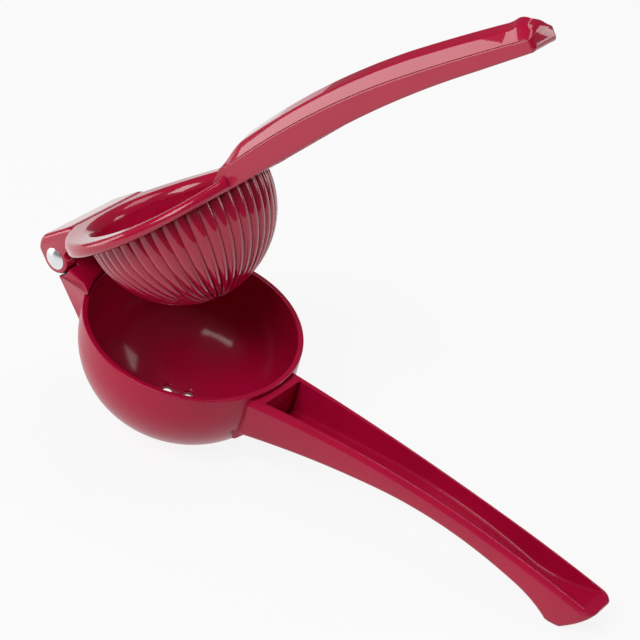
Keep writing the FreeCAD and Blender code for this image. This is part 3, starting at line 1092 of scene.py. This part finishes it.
    def stations(self) -> Array:
        """Places along the handle, closer together at the ends of the channel and at the tip."""
        start, stop = self.channel
        x = np.concatenate([
            refine([self.root, start - HAIR], 0.7),
            refine([start + HAIR, 60, 148, stop - HAIR], 1.2),
            refine([stop + HAIR, self.tip - 1, self.tip - 0.01], 0.12)])
        return np.sort(np.concatenate([x, refine([150, 158.9], 0.3)[1:-1]]))

    def handle(self) -> tuple:
        """Carries the upside-down channel with its bevelled shoulders along the handle.

        Returns:
            Points (n, 3) and faces.
        """
        start, stop = self.channel
        x = self.stations()
        top, bottom = self.ridge_height(x), self.bottom_edges().height(x)
        curved = x < self.grip_start
        w = np.full_like(x, self.grip)
        end = (self.grip_start, self.grip)
        w[curved] = arc_height(x[curved], (self.root, self.waist), end, self.waist_bow, Side.ABOVE)
        w = LowerCasting.tip_round(x, w, self.tip + 0.02, self.tip_corner)
        inner = np.full_like(x, self.inner_grip)
        end = (self.grip_start, self.inner_grip)
        inner[curved] = arc_height(x[curved], (start, self.inner_waist), end, self.inner_bow, Side.ABOVE)
        inner = np.maximum(np.minimum(inner, w - self.side_wall), 0.3)
        roof = top - self.roof_wall
        dip = np.clip(x - self.flare_start - 4, 0, 5) ** 2 * 0.16
        roof = np.where(x > self.flare_start, np.minimum(roof, self.flare_roof - dip), roof)
        roof = np.where((x > start) & (x < stop), roof, bottom + 0.05)
        zero = np.zeros_like(x)
        crease = np.minimum(self.shoulder_line().height(x) - self.shoulder, top - (top - bottom) * 0.1)
        crease = np.maximum(crease, bottom + (top - bottom) * 0.3)
        deep = top - crease
        ease = np.minimum(deep / self.shoulder, 1.0)
        cut_in, cut_down = self.shoulder_cut
        outline = np.stack([
            np.stack([zero, top], -1),
            np.stack([w - cut_in, top - np.minimum(cut_down, deep * 0.3)], -1),
            np.stack([w, crease], -1),
            np.stack([w - self.groove * ease, crease - 0.25 * ease], -1),
            np.stack([w, crease - 0.55 * ease], -1),
            np.stack([w, bottom + 1.2 * ease], -1),
            np.stack([w - 0.35, bottom], -1),
            np.stack([inner, bottom], -1),
            np.stack([np.maximum(inner - 0.3, 0.2), roof], -1),
            np.stack([zero, roof], -1)], 1)
        loop = mirror_loop(rounded_path(outline, self.section_radii, steps=7))
        xs = np.broadcast_to(x[:, None], loop.shape[:2])
        points, faces = loft(np.stack([xs, loop[..., 0], loop[..., 1]], -1))
        push_out(points, 30.2, points[:, 0] < 40)
        return points, faces

    def build(self) -> Piece:
        """Builds the casting as one piece and rides it on the press.

        Returns:
            The piece.
        """
        matrix = self.placer.matrix(True)
        shapes = join([self.cup(), self.hood(), self.handle()])
        piece = make_object("upper_casting_skin", *shapes, matrix, angle=32)
        piece.data.materials.append(GLOSS_RED.build())
        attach(piece, "press")
        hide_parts("upper_casting")
        return piece


# Hinge pin


@dataclass
class HingePin:
    """The rivet pin with its two domed heads."""

    placer: Placer
    shank: float = 2.5
    head: float = 4.0
    face: float = 17.4
    rise: float = 1.3
    brim: float = 0.5

    def build(self) -> Piece:
        """Turns the pin about the hinge axis and rides it on the press.

        Returns:
            The piece.
        """
        ball = (self.head ** 2 + self.rise ** 2) / (2 * self.rise)
        sweep = math.asin(self.head / ball)
        t = np.linspace(0, sweep, 12)
        dome_r = ball * np.sin(t)
        dome_y = self.face + self.brim + self.rise - ball * (1 - np.cos(t))
        side_r = np.concatenate([dome_r, [self.head, self.head - 0.1, self.shank]])
        side_y = np.concatenate([dome_y, [self.face + 0.1, self.face, self.face]])
        r = np.concatenate([side_r, side_r[::-1]])
        y = np.concatenate([side_y, -side_y[::-1]])
        points, faces = turned(r, y, 64)
        points = points[:, [0, 2, 1]] + np.array([self.placer.hinge_x, 0, self.placer.hinge_z])
        piece = make_object("hinge_pin_skin", points, faces, self.placer.matrix(True))
        piece.data.materials.append(Steel().build())
        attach(piece, "press")
        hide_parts("hinge_pin")
        return piece


# Studio


@dataclass(frozen=True)
class Softbox:
    """One area lamp, aimed at a point."""

    name: str
    place: tuple
    size: tuple
    power: float
    aim: tuple = (0.0, 0.0, 0.06)

    def build(self) -> None:
        """Makes the lamp."""
        lamp = bpy.data.lights.new(self.name, "AREA")
        lamp.shape = "RECTANGLE"
        lamp.size, lamp.size_y = self.size
        lamp.energy = self.power
        stand = bpy.data.objects.new(self.name, lamp)
        stand.location = self.place
        stand.rotation_euler = (Vector(self.aim) - Vector(self.place)).to_track_quat("-Z", "Y").to_euler()
        bpy.context.scene.collection.objects.link(stand)


@dataclass
class Studio:
    """The floor, world, lamps and camera."""

    placer: Placer
    azimuth: float = 29.293
    elevation: float = 40.015
    roll: float = 16.716
    place: tuple = (284.1, -425.8, 444.9)
    focal_pixels: float = 2059.31
    frame_pixels: int = 640
    white_share: float = 0.88
    paper_tone: float = 0.9
    floor_reach: float = 3.0
    world_tint: tuple = (1.0, 0.97, 1.0)
    world_strength: float = 0.10
    boxes: list = field(default_factory=lambda: [
        Softbox("key_box", (0.05, -0.80, 1.0), (0.8, 0.6), 8.5),
        Softbox("top_box", (-0.1, 0.3, 1.2), (0.6, 0.6), 3.0),
        Softbox("left_box", (-0.92, -0.50, 0.27), (0.62, 0.52), 3.2, (0.0, 0.0, 0.12)),
        Softbox("back_box", (0.55, 0.75, 0.45), (0.3, 0.5), 1.6),
    ])

    def floor(self) -> None:
        """Makes the pale floor, which keeps the object's soft shadow."""
        mesh = bpy.data.meshes.new("floor")
        reach = self.floor_reach
        square = [(-reach, -reach, 0), (reach, -reach, 0), (reach, reach, 0), (-reach, reach, 0)]
        mesh.from_pydata(square, [], [(0, 1, 2, 3)])
        floor = bpy.data.objects.new("floor", mesh)
        mesh.materials.append(self.paper())
        bpy.context.scene.collection.objects.link(floor)

    def paper(self) -> bpy.types.Material:
        """Makes the floor's material: lit paper, most of which rays from the camera see as white.

        Mirrored and passed rays see the same white, and the rest of it keeps the shadow.

        Returns:
            The material.
        """
        wiring = Wiring.start("pale_floor")
        shader = wiring.shader
        shader.inputs["Base Color"].default_value = (self.paper_tone, self.paper_tone, self.paper_tone, 1)
        shader.inputs["Roughness"].default_value = 0.9
        shader.inputs["Specular IOR Level"].default_value = 0.0
        white = wiring.add("ShaderNodeEmission")
        rays = wiring.add("ShaderNodeLightPath").outputs
        seen = wiring.math("MAXIMUM", rays["Is Camera Ray"], rays["Is Glossy Ray"])
        seen = wiring.math("MAXIMUM", seen, rays["Is Transmission Ray"])
        mix = wiring.add("ShaderNodeMixShader")
        wiring.link(wiring.math("MULTIPLY", seen, self.white_share), mix.inputs[0])
        wiring.link(shader.outputs["BSDF"], mix.inputs[1])
        wiring.link(white.outputs["Emission"], mix.inputs[2])
        output = wiring.material.node_tree.nodes["Material Output"]
        wiring.link(mix.outputs["Shader"], output.inputs["Surface"])
        return wiring.material

    def world(self) -> None:
        """Makes dim, even surroundings, so that the lamps and the floor are what the enamel mirrors."""
        world = bpy.data.worlds.new("studio")
        world.use_nodes = True
        backdrop = world.node_tree.nodes["Background"]
        backdrop.inputs["Color"].default_value = (*self.world_tint, 1)
        backdrop.inputs["Strength"].default_value = self.world_strength
        bpy.context.scene.world = world

    def camera(self) -> None:
        """Makes the camera at the photograph's view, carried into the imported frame."""
        a, e, r = (math.radians(v) for v in (self.azimuth, self.elevation, self.roll))
        behind = Vector((math.sin(a) * math.cos(e), -math.cos(a) * math.cos(e), math.sin(e)))
        right = (-behind).cross(Vector((0, 0, 1))).normalized()
        up = right.cross(-behind)
        turned_right = right * math.cos(r) + up * math.sin(r)
        turned_up = up * math.cos(r) - right * math.sin(r)
        axes = Matrix((turned_right, turned_up, behind)).transposed()
        matrix = self.placer.matrix(False)
        lens = bpy.data.cameras.new("camera")
        lens.lens = self.focal_pixels * lens.sensor_width / self.frame_pixels
        lens.clip_start = 0.01
        holder = bpy.data.objects.new("camera", lens)
        lean = Matrix.Rotation(self.placer.lean, 3, "Y")
        holder.matrix_world = Matrix.Translation(matrix @ Vector(self.place)) @ (lean @ axes).to_4x4()
        bpy.context.scene.collection.objects.link(holder)
        bpy.context.scene.camera = holder

    def build(self) -> None:
        """Builds everything round the object."""
        self.floor()
        self.world()
        for box in self.boxes:
            box.build()
        self.camera()
        bpy.context.scene.view_settings.view_transform = "Standard"


def corners(bounds: tuple) -> list:
    """Gives a box's two corners as plain lists."""
    return [[float(value) for value in corner] for corner in bounds]


def main() -> None:
    """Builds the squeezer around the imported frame."""
    logging.basicConfig(level=logging.INFO)
    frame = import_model()
    hinge = next(joint for joint in frame["joints"] if joint["name"] == "press_hinge")
    placer = Placer(Vector(hinge["pos_m"]))
    for maker in (LowerCasting(placer), UpperCasting(placer), HingePin(placer)):
        piece = maker.build()
        LOG.info("%s: %d faces", piece.name, len(piece.data.polygons))
    Studio(placer).build()


if __name__ == "__main__":
    main()
